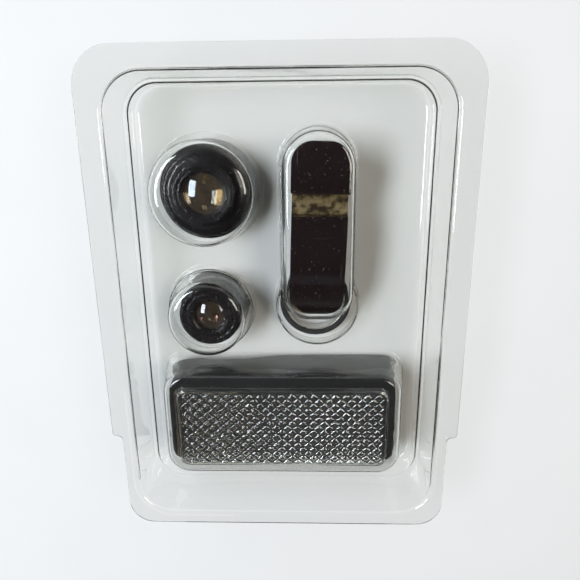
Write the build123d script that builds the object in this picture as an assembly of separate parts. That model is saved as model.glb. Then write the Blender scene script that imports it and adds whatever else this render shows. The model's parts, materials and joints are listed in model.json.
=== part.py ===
from build123d import *
import math
import os

# Clip-on phone lens set in its clear blister tray. Millimetres and degrees throughout.
# Frame: the tray rests on its floor at z = 0, its flange faces +Z, and +Y runs to the flange's wide end.
# Every loose item sits in a pocket that opens downwards, through the tray's floor.

# ---------------------------------------------------------------- driving dimensions
# Tray: one thermoformed sheet
SHEET = 0.5
TRAY_DEPTH = 20.5
FLANGE_LENGTH = 120.3
FLANGE_WIDTH = 88.5
FLANGE_FOOT_WIDTH = 83.5
FLANGE_STEP_Y = -33.6
FLANGE_CORNER = 9.0
FLANGE_FOOT_CORNER = 6.5
FLANGE_STEP_CORNER = 1.2
FLOOR_WIDTH = 73.2
FLOOR_LENGTH = 107.2
FLOOR_Y = -0.9
FLOOR_CORNER = 7.0
WALL_DRAFT = 6.0
RIM_ROUND = 1.6
FLOOR_ROUND = 1.4

# Pockets: heights are of the upper face of the sheet, and sizes are where the wall meets the floor
POCKET_BASE_ROUND = 0.5
LENS_POCKET_TOP = 13.5
FISHEYE_POCKET = (-19.6, 27.3)
FISHEYE_POCKET_R = 14.8
FISHEYE_POCKET_DRAFT = 10.0
FISHEYE_POCKET_TOP_ROUND = 3.6
WIDE_POCKET = (-19.8, -4.6)
WIDE_POCKET_R = 12.1
WIDE_POCKET_DRAFT = 8.0
WIDE_POCKET_TOP_ROUND = 2.8
WIDE_POCKET_LEDGE_Z = 4.6
WIDE_POCKET_LEDGE = 0.5
# The clip's pocket: a low keyhole over the lens ring, and a high slot over the jaws
CLIP_POCKET = (8.9, -2.9)
CLIP_POCKET_R = 11.6
CLIP_POCKET_HALF_WIDTH = 10.2
CLIP_POCKET_END_Y = 43.8
CLIP_POCKET_NECK_R = 14.0
CLIP_POCKET_DRAFT = 7.0
CLIP_POCKET_SHELF_Z = 7.0
CLIP_POCKET_SHELF_ROUND = 1.2
CLIP_POCKET_TOP = 17.2
CLIP_POCKET_TOP_ROUND = 2.0
# The slot as (half width, end in +Y, foot in -Y); its foot slopes with the jaw's tip
CLIP_SLOT_AT_FLOOR = (9.7, 43.4, -8.5)
CLIP_SLOT_AT_TOP = (8.4, 42.0, -2.6)
CLIP_SLOT_FOOT_CORNER = 6.5
POUCH_POCKET_X = -0.5
POUCH_POCKET_BASE = (68.0, -18.2, -50.4)
POUCH_POCKET_SHOULDER = (62.6, -18.9, -48.2)
POUCH_POCKET_FACE = (55.6, -22.3, -44.7)
POUCH_POCKET_SHOULDER_Z = 15.4
POUCH_POCKET_FACE_Z = 16.8
POUCH_POCKET_CORNER = 6.0
POUCH_POCKET_FACE_CORNER = 3.0
POUCH_POCKET_SHOULDER_ROUND = 3.2

# Lens thread shared by both lenses and the clip's ring, as plain cylinders with a running fit
THREAD_R = 7.6
THREAD_CLEARANCE = 0.05
FIT = 0.03

# Fisheye lens: its front faces down
LENS_BACK_Z = 12.2
LENS_FRONT_Z = 0.9
FISHEYE_AXIS = (-18.8, 27.55)
FISHEYE_RIM_R = 12.4
FISHEYE_RIM_BACK_Z = 5.0
FISHEYE_BARREL_R = 11.0
FISHEYE_STUB_Z = 10.4
FISHEYE_FRONT_GLASS_R = 10.9
FISHEYE_FRONT_GLASS_Z = (1.9, 3.7)
FISHEYE_FRONT_OPENING_R = 10.2
FISHEYE_MIDDLE_GLASS_R = 6.0
FISHEYE_MIDDLE_GLASS_Z = (5.6, 7.2)
FISHEYE_MIDDLE_BORE_R = 6.1
FISHEYE_MIDDLE_OPENING_R = 5.0
FISHEYE_SPACER_Z = (3.9, 4.7)
FISHEYE_REAR_GLASS_R = 5.65
FISHEYE_REAR_GLASS_Z = (9.0, 10.85)
FISHEYE_REAR_THREAD_R = 6.2
FISHEYE_REAR_OPENING_R = 5.1

# Wide-angle lens with the macro lens screwed to its back: its front faces down
WIDE_AXIS = (-18.85, -3.52)
WIDE_RIM_R = 9.0
WIDE_RIM_BACK_Z = 3.4
WIDE_BARREL_R = 8.5
WIDE_GLASS_R = 7.5
WIDE_GLASS_Z = (2.2, 4.6)
WIDE_OPENING_R = 5.6
WIDE_SOCKET_Z = 5.2
MACRO_R = 7.8
MACRO_GRIP_R = 8.1
MACRO_GRIP_BACK_Z = 9.7
MACRO_GLASS_R = 4.3
MACRO_GLASS_Z = (9.6, 11.0)
MACRO_OPENING_R = 3.9
MACRO_RETAINER_Z = 8.5
MACRO_RETAINER_BORE_R = 3.8
MACRO_SPIGOT_R = 6.6
MACRO_SPIGOT_Z = 5.4
MACRO_JOINT_Z = 7.4

# Spring clip: built around the centre of its lens ring, then laid in its pocket with a slight lean
CLIP_RING = (8.4, -2.05)
CLIP_LEAN = -1.8
RING_R = 9.4
RING_INSERT_R = 8.6
RING_Z = (1.0, 4.6)
RING_PAD_Z = 5.4
CLIP_PAD_END_Y = 41.8
CLIP_PAD_HALF_WIDTH = 7.0
CLIP_JAW_HALF_WIDTH = 6.7
PIVOT_Y = 27.2
PIVOT_Z = 8.2
PIN_R = 1.0
EAR_R = 3.0
EAR_THICKNESS = 1.5
EAR_GAP = 0.25
UPPER_EAR_OUTER_X = 6.4
LOWER_PLATE_Z = (1.2, 3.4)
UPPER_PLATE_THICKNESS = 2.1
UPPER_PAD_Z = 15.6
UPPER_ARM_Z = 15.3
VALLEY_Z = 13.4
VALLEY_UNDER_Z = 11.6
JAW_TIP_Y = -2.8
JAW_TIP_ROUND = 6.2
PAD_CORNER = 5.0
LOWER_JAW_INSET = 0.1
SPRING_WIRE_R = 0.4
SPRING_COIL_R = 1.75
SPRING_FULL_TURNS = 4
SPRING_LEG_ANGLE = 16.0
SPRING_LEG_LENGTH = 9.0

# Pouch: folded flat in its pocket
POUCH_X = (-30.0, 29.0)
POUCH_Y = (-44.7, -19.9)
POUCH_Z = (0.4, 14.2)
POUCH_CORNER = 4.5
POUCH_EDGE_ROUND = 2.4
CORD_X = (2.0, 22.0)
CORD_Z = (7.0, 11.3)
CORD_R = 0.7
CORD_KNOT_R = 1.15
CORD_GAP = 0.1

# Modelling aids: how close counts as the same place, and how far cutters run past the tray's floor and top
SAME = 0.01
OVERRUN = 1.0
BELOW_FLOOR = -4.0


# ---------------------------------------------------------------- helpers
def round_corners(outline, y, radius):
    """The outline with its corners at height y rounded."""
    corners = outline.vertices().filter_by(lambda v: abs(v.Y - y) < SAME)
    return fillet(corners, radius)


def edges_at(solid, z):
    """The edges of a solid that lie flat at height z."""
    return solid.edges().filter_by(lambda e: abs(e.bounding_box().min.Z - z) < SAME
                                   and abs(e.bounding_box().max.Z - z) < SAME)


def turned(points, axis):
    """A ring or plug turned about a lens axis, from its (radius, height) outline."""
    return Pos(*axis, 0) * revolve(Plane.XZ * Polygon(*points, align=None), Axis.Z)


def sphere_arc(radius, edge_z, sag):
    """Half of a lens surface: from its rim at (radius, edge_z) to its pole, sag above the rim."""
    sphere_r = (radius**2 + sag**2) / (2 * abs(sag))
    middle = radius / 2
    drop = math.sqrt(sphere_r**2 - middle**2) - (sphere_r - abs(sag))
    return ThreePointArc((radius, edge_z), (middle, edge_z + math.copysign(drop, sag)), (0, edge_z + sag))


def lens_element(radius, seat, rim, sags, axis):
    """A glass element with a flat seat, seat wide, around each surface.

    rim holds the heights of its edge's two corners, and sags how far each pole stands above them.
    """
    low, high = rim
    low_sag, high_sag = sags
    clear = radius - seat
    rim_line = Polyline((clear, low), (radius, low), (radius, high), (clear, high))
    axis_line = Line((0, low + low_sag), (0, high + high_sag))
    surfaces = sphere_arc(clear, low, low_sag).edges() + sphere_arc(clear, high, high_sag).edges()
    profile = make_face(surfaces + rim_line.edges() + axis_line.edges())
    return Pos(*axis, 0) * revolve(Plane.XZ * profile, Axis.Z)


# ---------------------------------------------------------------- tray
def flange_outline(margin):
    """The sheet's cut edge: wide along the top, narrower at the foot."""
    wide = FLANGE_WIDTH / 2 + margin
    foot = FLANGE_FOOT_WIDTH / 2 + margin
    end = FLANGE_LENGTH / 2 + margin
    step = FLANGE_STEP_Y - margin
    half = [(foot, -end), (foot, step), (wide, step), (wide, end)]
    outline = Polygon(*half, *[(-x, y) for x, y in reversed(half)], align=None)
    outline = round_corners(outline, end, FLANGE_CORNER)
    outline = round_corners(outline, step, FLANGE_STEP_CORNER)
    return round_corners(outline, -end, FLANGE_FOOT_CORNER)


def rounded_top(bump, radius):
    """The bump with its top edge rounded."""
    return fillet(bump.faces().sort_by(Axis.Z)[-1].edges(), radius)


def cone_bump(centre, radius, draft, low, high):
    """A round pocket whose wall leans in by its draft."""
    top_radius = radius - (high - low) * math.tan(math.radians(draft))
    cone = Cone(radius, top_radius, high - low, align=(Align.CENTER, Align.CENTER, Align.MIN))
    return Pos(*centre, low) * cone


def fisheye_bump(inset, floor):
    radius = FISHEYE_POCKET_R - inset
    bump = cone_bump(FISHEYE_POCKET, radius, FISHEYE_POCKET_DRAFT, floor, LENS_POCKET_TOP - inset)
    return rounded_top(bump, FISHEYE_POCKET_TOP_ROUND - inset)


def wide_bump(inset, floor):
    """The wide lens's pocket: a low step holds the rim, a narrower turret holds the macro end."""
    step_r = WIDE_POCKET_R - inset
    turret_r = step_r - WIDE_POCKET_LEDGE
    turret = cone_bump(WIDE_POCKET, turret_r, WIDE_POCKET_DRAFT, floor, LENS_POCKET_TOP - inset)
    step = cone_bump(WIDE_POCKET, step_r, WIDE_POCKET_DRAFT, floor, WIDE_POCKET_LEDGE_Z - inset)
    return rounded_top(turret, WIDE_POCKET_TOP_ROUND - inset) + rounded_top(step, POCKET_BASE_ROUND)


def keyhole(inset):
    """A long slot with a round end, and a wider bulge around the lens ring."""
    x, y = CLIP_POCKET
    half = CLIP_POCKET_HALF_WIDTH - inset
    end_centre = CLIP_POCKET_END_Y - CLIP_POCKET_HALF_WIDTH
    slot = Pos(x, (y + end_centre) / 2) * Rectangle(2 * half, end_centre - y)
    outline = slot + Pos(x, end_centre) * Circle(half) + Pos(x, y) * Circle(CLIP_POCKET_R - inset)
    neck = outline.vertices().filter_by(lambda v: abs(v.Y - y) < CLIP_POCKET_R)
    return fillet(neck, CLIP_POCKET_NECK_R)


def slot_outline(size, inset, z):
    """The high slot's outline at height z: round at its end, with two smaller corners at its foot."""
    half, end, foot = size
    x = CLIP_POCKET[0]
    centre = end - half
    half -= inset
    foot += inset
    corner = CLIP_SLOT_FOOT_CORNER - inset
    bow = corner * math.sin(math.radians(45))
    inner_x, inner_y = half - corner, foot + corner
    outline = [Line((half, inner_y), (half, centre)),
               ThreePointArc((half, centre), (0, centre + half), (-half, centre)),
               Line((-half, centre), (-half, inner_y)),
               ThreePointArc((-half, inner_y), (-inner_x - bow, inner_y - bow), (-inner_x, foot)),
               Line((-inner_x, foot), (inner_x, foot)),
               ThreePointArc((inner_x, foot), (inner_x + bow, inner_y - bow), (half, inner_y))]
    return Pos(x, 0, z) * make_face(outline)


def clip_bump(inset, floor):
    shelf = CLIP_POCKET_SHELF_Z - inset - floor
    low = extrude(Plane.XY.offset(floor) * keyhole(inset), amount=shelf, taper=CLIP_POCKET_DRAFT)
    low = rounded_top(low, CLIP_POCKET_SHELF_ROUND - inset)
    high = loft([slot_outline(CLIP_SLOT_AT_FLOOR, inset, floor),
                 slot_outline(CLIP_SLOT_AT_TOP, inset, CLIP_POCKET_TOP - inset)], ruled=True)
    return low + rounded_top(high, CLIP_POCKET_TOP_ROUND - inset)


def pocket_rectangle(size, corner, inset, z):
    """A rounded rectangle at height z, from its width and its two ends in Y."""
    width, end, foot = size
    place = Pos(POUCH_POCKET_X, (end + foot) / 2, z)
    return place * RectangleRounded(width - 2 * inset, end - foot - 2 * inset, corner - inset)


def pouch_bump(inset, floor):
    """The pouch's pocket: a large block with soft shoulders, and a raised rectangular face on top."""
    shoulder_z = POUCH_POCKET_SHOULDER_Z - inset
    block = loft([pocket_rectangle(POUCH_POCKET_BASE, POUCH_POCKET_CORNER, inset, floor),
                  pocket_rectangle(POUCH_POCKET_SHOULDER, POUCH_POCKET_CORNER, inset, shoulder_z)])
    block = rounded_top(block, POUCH_POCKET_SHOULDER_ROUND - inset)
    face = pocket_rectangle(POUCH_POCKET_FACE, POUCH_POCKET_FACE_CORNER, inset, floor)
    plateau = extrude(face, amount=POUCH_POCKET_FACE_Z - inset - floor)
    return block + rounded_top(plateau, POCKET_BASE_ROUND)


def is_opening(edge):
    """Whether an edge at the top belongs to the dish's opening, not to the flange's cut edge."""
    lean = TRAY_DEPTH * math.tan(math.radians(WALL_DRAFT)) + OVERRUN
    box = edge.bounding_box()
    half_width = max(abs(box.min.X), abs(box.max.X))
    half_length = max(abs(box.min.Y - FLOOR_Y), abs(box.max.Y - FLOOR_Y))
    return half_width < FLOOR_WIDTH / 2 + lean and half_length < FLOOR_LENGTH / 2 + lean


def below_sheet(inset):
    """All the space under one face of the sheet: inset 0 is the upper face, inset SHEET the lower."""
    floor = SHEET - inset
    top = TRAY_DEPTH - inset
    block = extrude(Plane.XY.offset(BELOW_FLOOR) * flange_outline(2 * inset), amount=top - BELOW_FLOOR)
    corner = FLOOR_CORNER + inset
    dish_floor = RectangleRounded(FLOOR_WIDTH + 2 * inset, FLOOR_LENGTH + 2 * inset, corner)
    rise = TRAY_DEPTH + OVERRUN - floor
    block -= extrude(Pos(0, FLOOR_Y, floor) * dish_floor, amount=rise, taper=-WALL_DRAFT)
    block = fillet(edges_at(block, floor), FLOOR_ROUND + inset)
    block = fillet(edges_at(block, top).filter_by(is_opening), RIM_ROUND - inset)
    for bump in (fisheye_bump, wide_bump, clip_bump, pouch_bump):
        block += bump(inset, floor)
    return block


def blister_tray():
    return below_sheet(0) - below_sheet(SHEET)


# ---------------------------------------------------------------- fisheye lens
def fisheye_barrel():
    """The body: a wide front seat, stepped bores for three glasses, and the threaded stub at the back."""
    seat_z = FISHEYE_FRONT_GLASS_Z[1]
    bore_z = FISHEYE_SPACER_Z[1]
    middle_z = FISHEYE_MIDDLE_GLASS_Z[1]
    rear_low, rear_high = FISHEYE_REAR_GLASS_Z
    rear_bore = FISHEYE_REAR_GLASS_R + THREAD_CLEARANCE
    rear_thread = FISHEYE_REAR_THREAD_R
    middle_opening = FISHEYE_MIDDLE_OPENING_R
    middle_bore = FISHEYE_MIDDLE_BORE_R
    front_bore = FISHEYE_BARREL_R - 1.4
    outer = FISHEYE_BARREL_R
    stub = FISHEYE_STUB_Z
    back = LENS_BACK_Z
    body = [(outer, seat_z), (outer, stub - 1.2), (outer - 0.7, stub - 0.4)]
    thread = [(THREAD_R + 1, stub), (THREAD_R, stub), (THREAD_R, back - 0.3), (THREAD_R - 0.3, back)]
    rear = [(rear_thread, back), (rear_thread, rear_high), (rear_bore, rear_high), (rear_bore, rear_low)]
    middle = [(middle_opening, rear_low), (middle_opening, middle_z), (middle_bore, middle_z),
              (middle_bore, bore_z)]
    front = [(front_bore, bore_z), (front_bore, seat_z)]
    return turned(body + thread + rear + middle + front, FISHEYE_AXIS)


def fisheye_front_ring():
    """The rim: a ring screwed over the barrel's front, with a lip that holds the front glass in."""
    bore = FISHEYE_BARREL_R + THREAD_CLEARANCE
    opening = FISHEYE_FRONT_OPENING_R
    rim = FISHEYE_RIM_R
    front = LENS_FRONT_Z
    back = FISHEYE_RIM_BACK_Z
    lip = FISHEYE_FRONT_GLASS_Z[0]
    outside = [(opening, front), (rim - 0.6, front), (rim, front + 0.6), (rim, back - 0.6), (rim - 0.7, back)]
    inside = [(bore, back), (bore, lip), (opening, lip)]
    return turned(outside + inside, FISHEYE_AXIS)


def fisheye_front_element():
    low, high = FISHEYE_FRONT_GLASS_Z
    return lens_element(FISHEYE_FRONT_GLASS_R, 0.8, (low + FIT, high - FIT), (-1.4, -1.9), FISHEYE_AXIS)


def fisheye_spacer():
    """The black baffle that holds the middle glass down and hides the barrel's wall."""
    low, high = FISHEYE_SPACER_Z
    outer = FISHEYE_BARREL_R - 1.45
    sleeve = FISHEYE_MIDDLE_GLASS_R
    sleeve_z = FISHEYE_MIDDLE_GLASS_Z[0]
    bore = sleeve - 1.1
    points = [(outer, low), (outer, high - FIT), (sleeve, high - FIT), (sleeve, sleeve_z), (bore, sleeve_z),
              (bore, low + 0.5), (outer - 0.75, low)]
    return turned(points, FISHEYE_AXIS)


def fisheye_middle_element():
    low, high = FISHEYE_MIDDLE_GLASS_Z
    return lens_element(FISHEYE_MIDDLE_GLASS_R, 1.2, (low + FIT, high - FIT), (0.35, -0.45), FISHEYE_AXIS)


def fisheye_rear_element():
    low, high = FISHEYE_REAR_GLASS_Z
    return lens_element(FISHEYE_REAR_GLASS_R, 0.75, (low + FIT, high - FIT), (-0.5, 0.9), FISHEYE_AXIS)


def fisheye_rear_retainer():
    """The slim ring screwed into the back, over the rear glass."""
    low = FISHEYE_REAR_GLASS_Z[1] + FIT
    inner = FISHEYE_REAR_OPENING_R
    outer = FISHEYE_REAR_THREAD_R - FIT
    return turned([(inner, low), (outer, low), (outer, LENS_BACK_Z), (inner, LENS_BACK_Z)], FISHEYE_AXIS)


# ---------------------------------------------------------------- wide-angle and macro lens
def wide_barrel():
    """The wide half's body: a flared front rim, and a threaded socket at the back for the macro half."""
    rim = WIDE_RIM_R
    rim_back = WIDE_RIM_BACK_Z
    front = LENS_FRONT_Z
    back = MACRO_JOINT_Z - 0.05
    socket = MACRO_SPIGOT_R + THREAD_CLEARANCE
    socket_z = WIDE_SOCKET_Z
    opening = WIDE_OPENING_R
    glass_bore = WIDE_GLASS_R + FIT
    glass_z = WIDE_GLASS_Z[1]
    outside = [(rim - 0.4, front), (rim, front + 0.4), (rim, rim_back), (WIDE_BARREL_R, rim_back + 0.7),
               (WIDE_BARREL_R, back)]
    inside = [(socket, back), (socket, socket_z), (opening, socket_z), (opening, glass_z),
              (glass_bore, glass_z), (glass_bore, front)]
    return turned(outside + inside, WIDE_AXIS)


def wide_front_element():
    low, high = WIDE_GLASS_Z
    return lens_element(WIDE_GLASS_R, 0.9, (low, high - FIT), (-0.6, -1.5), WIDE_AXIS)


def wide_retainer():
    """The ring screwed into the front, holding the wide glass."""
    low = LENS_FRONT_Z + 0.3
    high = WIDE_GLASS_Z[0] - FIT
    inner = WIDE_GLASS_R - 0.8
    return turned([(inner, low), (WIDE_GLASS_R, low), (WIDE_GLASS_R, high), (inner + 0.2, high)], WIDE_AXIS)


def macro_barrel():
    """The macro half: a grip ring, a spigot for the wide half, and the thread that fits the clip."""
    spigot = MACRO_SPIGOT_R
    grip = MACRO_GRIP_R
    grip_back = MACRO_GRIP_BACK_Z
    back = LENS_BACK_Z
    opening = MACRO_OPENING_R
    glass_bore = MACRO_GLASS_R + FIT
    seat_z = MACRO_GLASS_Z[1]
    outside = [(spigot, MACRO_SPIGOT_Z), (spigot, MACRO_JOINT_Z), (grip, MACRO_JOINT_Z), (grip, grip_back),
               (MACRO_R, grip_back + 0.2), (MACRO_R, back - 0.5), (MACRO_R - 0.6, back)]
    inside = [(opening + 0.4, back - 0.1), (opening, back - 0.5), (opening, seat_z), (glass_bore, seat_z),
              (glass_bore, MACRO_SPIGOT_Z)]
    return turned(outside + inside, WIDE_AXIS)


def macro_element():
    low, high = MACRO_GLASS_Z
    return lens_element(MACRO_GLASS_R, 0.6, (low, high - FIT), (-0.6, 0.9), WIDE_AXIS)


def macro_retainer():
    low = MACRO_RETAINER_Z
    high = MACRO_GLASS_Z[0] - FIT
    inner = MACRO_RETAINER_BORE_R
    return turned([(inner, low), (MACRO_GLASS_R, low), (MACRO_GLASS_R, high), (inner, high)], WIDE_AXIS)


# ---------------------------------------------------------------- spring clip
# Clip parts are drawn with the lens ring's centre at the origin and the finger pads towards +Y.
CLIP_PLACE = Pos(*CLIP_RING, 0) * Rot(0, 0, CLIP_LEAN)
LOWER_EAR_OUTER_X = UPPER_EAR_OUTER_X - EAR_THICKNESS - EAR_GAP


def plan(half_width, end_y, tip_y, end_round, tip_round):
    """A jaw's outline from above: a strip with its two ends rounded."""
    strip = Pos(0, (end_y + tip_y) / 2) * Rectangle(2 * half_width, end_y - tip_y)
    strip = round_corners(strip, end_y, end_round)
    return round_corners(strip, tip_y, tip_round)


def side_cut(profile, outline):
    """A jaw: its side outline carried across the clip, trimmed to its outline from above."""
    wide = extrude(Plane.YZ * profile, amount=RING_R, both=True)
    tall = extrude(Pos(0, 0, -OVERRUN) * outline, amount=TRAY_DEPTH)
    return wide & tall


def ears(outer_x, low, high, hole_r):
    """Two ears around the pivot pin, from height low to height high, with their outer faces at outer_x."""
    disc = Plane.YZ * (Pos(PIVOT_Y, PIVOT_Z) * Circle(EAR_R))
    foot = Plane.YZ * (Pos(PIVOT_Y, (low + high) / 2) * Rectangle(2 * EAR_R, high - low))
    hole = Plane.YZ * (Pos(PIVOT_Y, PIVOT_Z) * Circle(hole_r))
    ear = extrude(disc + foot, amount=EAR_THICKNESS) - extrude(hole, amount=EAR_THICKNESS)
    return Pos(outer_x - EAR_THICKNESS, 0, 0) * ear + Pos(-outer_x, 0, 0) * ear


def upper_jaw_profile():
    """The plain jaw from the side: a finger pad, a valley over the pivot, an arm that dips to its tip."""
    thick = UPPER_PLATE_THICKNESS
    pad_end = CLIP_PAD_END_Y
    pad_end_z = UPPER_PAD_Z - 0.8
    pad_under_z = pad_end_z - 1.6
    pad_foot = (29.9, UPPER_PAD_Z - 0.3)
    valley_pad = (29.5, VALLEY_Z + 0.3)
    valley_low = (PIVOT_Y, VALLEY_Z - 0.4)
    valley_arm = (24.9, VALLEY_Z + 0.3)
    arm_foot = (24.6, UPPER_ARM_Z - 0.2)
    tip = (-2.6, 8.0)
    tip_under = (-0.7, 6.7)
    arm_under = (21.0, UPPER_ARM_Z - thick - 0.6)
    valley_under = [(24.0, VALLEY_UNDER_Z), (30.4, VALLEY_UNDER_Z)]
    top = (Spline((pad_end, pad_end_z), (36.5, UPPER_PAD_Z), pad_foot)
           + Line(pad_foot, valley_pad)
           + ThreePointArc(valley_pad, valley_low, valley_arm)
           + Line(valley_arm, arm_foot)
           + Spline(arm_foot, (21.0, UPPER_ARM_Z), (8.0, UPPER_ARM_Z - 0.7), (1.5, 12.4), tip))
    under = (Line(tip, tip_under)
             + Spline(tip_under, (2.6, 10.2), (8.0, UPPER_ARM_Z - 0.7 - thick), arm_under)
             + Polyline(arm_under, *valley_under)
             + Spline(valley_under[1], (36.5, UPPER_PAD_Z - thick), (pad_end, pad_under_z))
             + Line((pad_end, pad_under_z), (pad_end, pad_end_z)))
    return make_face(top.edges() + under.edges())


def upper_arm_plan():
    """The plain jaw's arm from above, from the valley to its round tip."""
    return plan(CLIP_JAW_HALF_WIDTH, 29.6, JAW_TIP_Y, 0.5, JAW_TIP_ROUND)


def clip_upper_jaw():
    """The plain jaw, which presses on the screen side of a phone."""
    pad = plan(CLIP_PAD_HALF_WIDTH, CLIP_PAD_END_Y, 29.5, PAD_CORNER, 0.8)
    jaw = side_cut(upper_jaw_profile(), pad + upper_arm_plan())
    return CLIP_PLACE * (jaw + ears(UPPER_EAR_OUTER_X, PIVOT_Z, VALLEY_UNDER_Z, PIN_R))


def clip_lower_jaw():
    """The jaw with the lens ring, a finger pad and the two inner ears."""
    low, high = LOWER_PLATE_Z
    pad_half_width = CLIP_PAD_HALF_WIDTH - LOWER_JAW_INSET
    arm_half_width = CLIP_JAW_HALF_WIDTH - LOWER_JAW_INSET
    pad = plan(pad_half_width, CLIP_PAD_END_Y - 0.3, 24.0, PAD_CORNER, 0.5)
    arm = plan(arm_half_width, 25.0, 5.0, 0.5, 0.5)
    plate = extrude(Pos(0, 0, low) * (pad + arm), amount=high - low)
    ring_low, ring_high = RING_Z
    ring = Pos(0, 0, ring_low) * extrude(Circle(RING_R), amount=ring_high - ring_low)
    bore = Pos(0, 0, -OVERRUN) * extrude(Circle(RING_INSERT_R), amount=TRAY_DEPTH)
    body = plate + ring + ears(LOWER_EAR_OUTER_X, high - 0.2, PIVOT_Z, PIN_R + THREAD_CLEARANCE)
    return CLIP_PLACE * (body - bore)


def clip_lens_ring():
    """The threaded insert that both lenses screw into."""
    low, high = RING_Z
    insert = Circle(RING_INSERT_R - FIT) - Circle(THREAD_R + THREAD_CLEARANCE)
    return CLIP_PLACE * Pos(0, 0, low) * extrude(insert, amount=high - low)


def clip_ring_pad():
    """The soft ring that protects the phone's back."""
    pad = Circle(RING_R - 0.3) - Circle(THREAD_R + 0.3)
    return CLIP_PLACE * Pos(0, 0, RING_Z[1] + FIT) * extrude(pad, amount=RING_PAD_Z - RING_Z[1])


def clip_jaw_pad():
    """The soft pad under the plain jaw's tip."""
    pad = Pos(0, 0.6, 5.6) * extrude(RectangleRounded(9.4, 3.6, 1.2), amount=3.4)
    jaw = side_cut(upper_jaw_profile(), upper_arm_plan())
    lowest = (pad - jaw).solids().sort_by(Axis.Z)[0]
    return CLIP_PLACE * lowest


def clip_pivot_pin():
    pin = Cylinder(PIN_R - FIT, 2 * UPPER_EAR_OUTER_X)
    return CLIP_PLACE * Pos(0, PIVOT_Y, PIVOT_Z) * Rot(0, 90, 0) * chamfer(pin.edges(), 0.2)


def clip_torsion_spring():
    """A coil around the pivot pin, with one leg under the upper finger pad and one over the lower."""
    pitch = 2 * SPRING_WIRE_R + 0.25
    turns = SPRING_FULL_TURNS + (180 - 2 * SPRING_LEG_ANGLE) / 360
    coil = Helix(pitch=pitch, height=pitch * turns, radius=SPRING_COIL_R)
    start, end = coil @ 0, coil @ 1
    upper_leg = Line(start - (coil % 0) * SPRING_LEG_LENGTH, start)
    lower_leg = Line(end, end + (coil % 1) * SPRING_LEG_LENGTH)
    wire = Part()
    for path in (upper_leg, coil, lower_leg):
        wire += sweep(Plane(origin=path @ 0, z_dir=path % 0) * Circle(SPRING_WIRE_R), path=path)
    across = Plane(origin=(-pitch * turns / 2, PIVOT_Y, PIVOT_Z), x_dir=(0, 1, 0), z_dir=(1, 0, 0))
    return CLIP_PLACE * across.location * Rot(0, 0, 90 + SPRING_LEG_ANGLE) * wire


# ---------------------------------------------------------------- pouch
def pouch_body():
    """The folded drawstring pouch, as the plain soft block it makes in its pocket."""
    (x0, x1), (y0, y1), (z0, z1) = POUCH_X, POUCH_Y, POUCH_Z
    outline = Pos((x0 + x1) / 2, (y0 + y1) / 2, z0) * RectangleRounded(x1 - x0, y1 - y0, POUCH_CORNER)
    block = extrude(outline, amount=z1 - z0)
    ends = block.faces().filter_by(Axis.Z)
    return fillet(ends.edges(), POUCH_EDGE_ROUND)


def pouch_drawcord():
    """The pouch's cord, which lies along the fold's lower edge and is tied in one knot."""
    y = POUCH_Y[0] - CORD_GAP - CORD_KNOT_R
    (x0, x1), (low, high) = CORD_X, CORD_Z
    middle = ((x0 + x1) / 2, y, high)
    path = ThreePointArc((x0, y, low), middle, (x1, y, low))
    cord = sweep(Plane(origin=path @ 0, z_dir=path % 0) * Circle(CORD_R), path=path)
    # The knot's poles are turned to lie inside the cord, which makes a clean join.
    knot = Pos(*middle) * Rot(0, 90, 0) * Sphere(CORD_KNOT_R)
    return cord + knot


# ---------------------------------------------------------------- output
NODES = [
    blister_tray,
    fisheye_barrel, fisheye_front_ring, fisheye_front_element, fisheye_spacer, fisheye_middle_element,
    fisheye_rear_element, fisheye_rear_retainer,
    wide_barrel, wide_front_element, wide_retainer,
    macro_barrel, macro_element, macro_retainer,
    clip_upper_jaw, clip_jaw_pad, clip_pivot_pin, clip_torsion_spring,
    clip_lower_jaw, clip_lens_ring, clip_ring_pad,
    pouch_body, pouch_drawcord,
]


def main():
    os.makedirs("parts", exist_ok=True)
    for node in NODES:
        export_step(node(), f"parts/{node.__name__}.step")


if __name__ == "__main__":
    main()
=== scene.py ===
import json
import math

import bmesh
import bpy
import numpy as np
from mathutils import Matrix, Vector, noise
from mathutils.geometry import delaunay_2d_cdt


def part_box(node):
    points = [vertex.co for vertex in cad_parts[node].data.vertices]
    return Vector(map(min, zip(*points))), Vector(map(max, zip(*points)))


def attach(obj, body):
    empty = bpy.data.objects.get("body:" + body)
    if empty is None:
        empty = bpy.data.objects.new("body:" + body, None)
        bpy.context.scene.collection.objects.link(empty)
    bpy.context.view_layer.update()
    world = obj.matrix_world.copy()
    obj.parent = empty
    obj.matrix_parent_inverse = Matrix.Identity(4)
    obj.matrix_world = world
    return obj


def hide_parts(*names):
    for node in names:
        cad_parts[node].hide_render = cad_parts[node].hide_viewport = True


# Clip-on phone lens set in its clear blister tray.
# Shapes are worked out in millimetres in the shared frame and scaled to metres when a mesh is made.

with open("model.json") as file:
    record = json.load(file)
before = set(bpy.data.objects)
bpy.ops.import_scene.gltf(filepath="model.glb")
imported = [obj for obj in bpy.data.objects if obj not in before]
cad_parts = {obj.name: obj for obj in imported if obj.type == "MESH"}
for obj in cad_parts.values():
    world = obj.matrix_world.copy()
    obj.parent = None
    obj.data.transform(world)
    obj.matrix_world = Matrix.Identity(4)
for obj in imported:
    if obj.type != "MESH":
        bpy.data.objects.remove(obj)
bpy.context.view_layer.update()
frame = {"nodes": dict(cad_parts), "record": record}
MM = 0.001


def extent(node):
    """A CAD node's lowest and highest corner, in millimetres."""
    low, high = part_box(node)
    return np.array(low) / MM, np.array(high) / MM


# ---------------------------------------------------------------- outlines, as arrays of (x, y) points
CORNER_POINTS = 14
SIDE_POINTS = 30
# The most of a straight stretch that a bend may use up: with another bend at its far end, and without one
SHARED_REACH = 0.48
WHOLE_REACH = 0.96


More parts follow.
